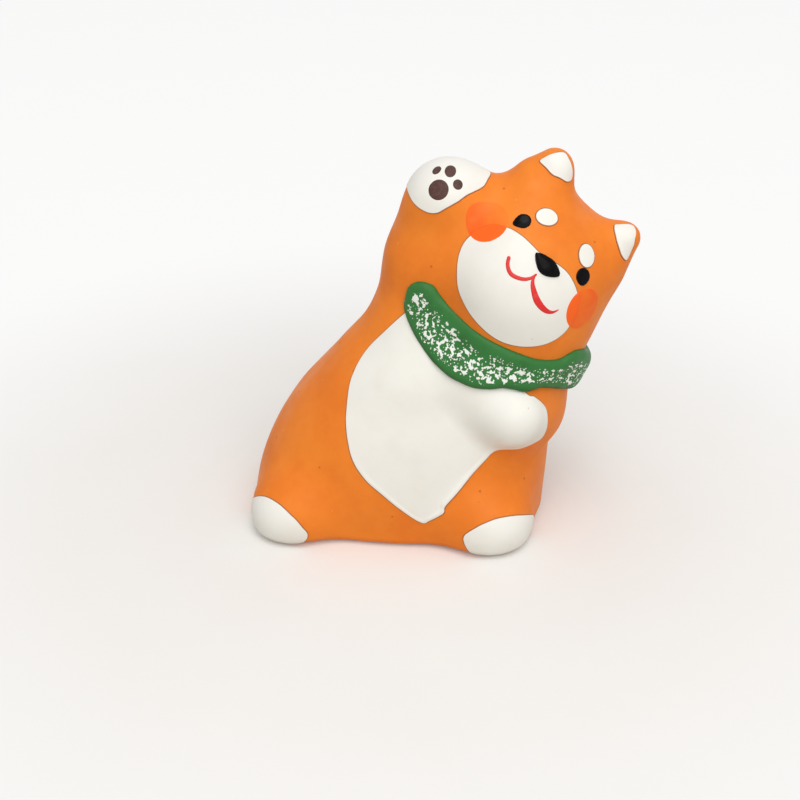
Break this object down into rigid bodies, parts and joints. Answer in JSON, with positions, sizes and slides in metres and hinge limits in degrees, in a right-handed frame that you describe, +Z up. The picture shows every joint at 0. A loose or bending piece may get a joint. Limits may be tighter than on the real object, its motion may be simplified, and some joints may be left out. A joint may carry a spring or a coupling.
{
  "type": "dog figurine",
  "caption": "Hand-painted pottery dog bending sideways in a stretch, one paw raised beside its tilted head and the other folded on its belly, with a scarf, standing on a flat base.",
  "frame": {"origin": "middle of the flat base that the figurine stands on", "axes": "+Z up, -Y out of the dog's face and belly, +X to the side that the body bends to"},
  "size_m": [0.0689, 0.0444, 0.0685],
  "materials": {
    "orange_paint": "matte orange paint brushed on fired clay",
    "white_paint": "thick matte white paint on fired clay",
    "green_paint": "matte green paint with sponged white flecks",
    "black_gloss": "glossy black paint",
    "red_paint": "fine red brush strokes",
    "blush_paint": "thin reddish orange wash",
    "brown_paint": "matte dark brown paint"
  },
  "bodies": {
    "root": {"torso_casting": "orange_paint", "head_casting": "orange_paint", "raised_arm": "orange_paint", "raised_paw": "white_paint", "folded_arm": "orange_paint", "folded_paw": "white_paint", "left_ear": "orange_paint", "right_ear": "orange_paint", "left_foot": "white_paint", "right_foot": "white_paint", "tail": "orange_paint", "scarf": "green_paint", "belly_coat": "white_paint", "muzzle_coat": "white_paint", "nose": "black_gloss", "left_eye": "black_gloss", "right_eye": "black_gloss", "left_brow": "white_paint", "right_brow": "white_paint", "left_cheek": "blush_paint", "right_cheek": "blush_paint", "left_ear_lining": "white_paint", "right_ear_lining": "white_paint", "mouth_left": "red_paint", "mouth_right": "red_paint", "palm_pad": "brown_paint", "toe_pad_1": "brown_paint", "toe_pad_2": "brown_paint", "toe_pad_3": "brown_paint"}
  },
  "joints": []
}
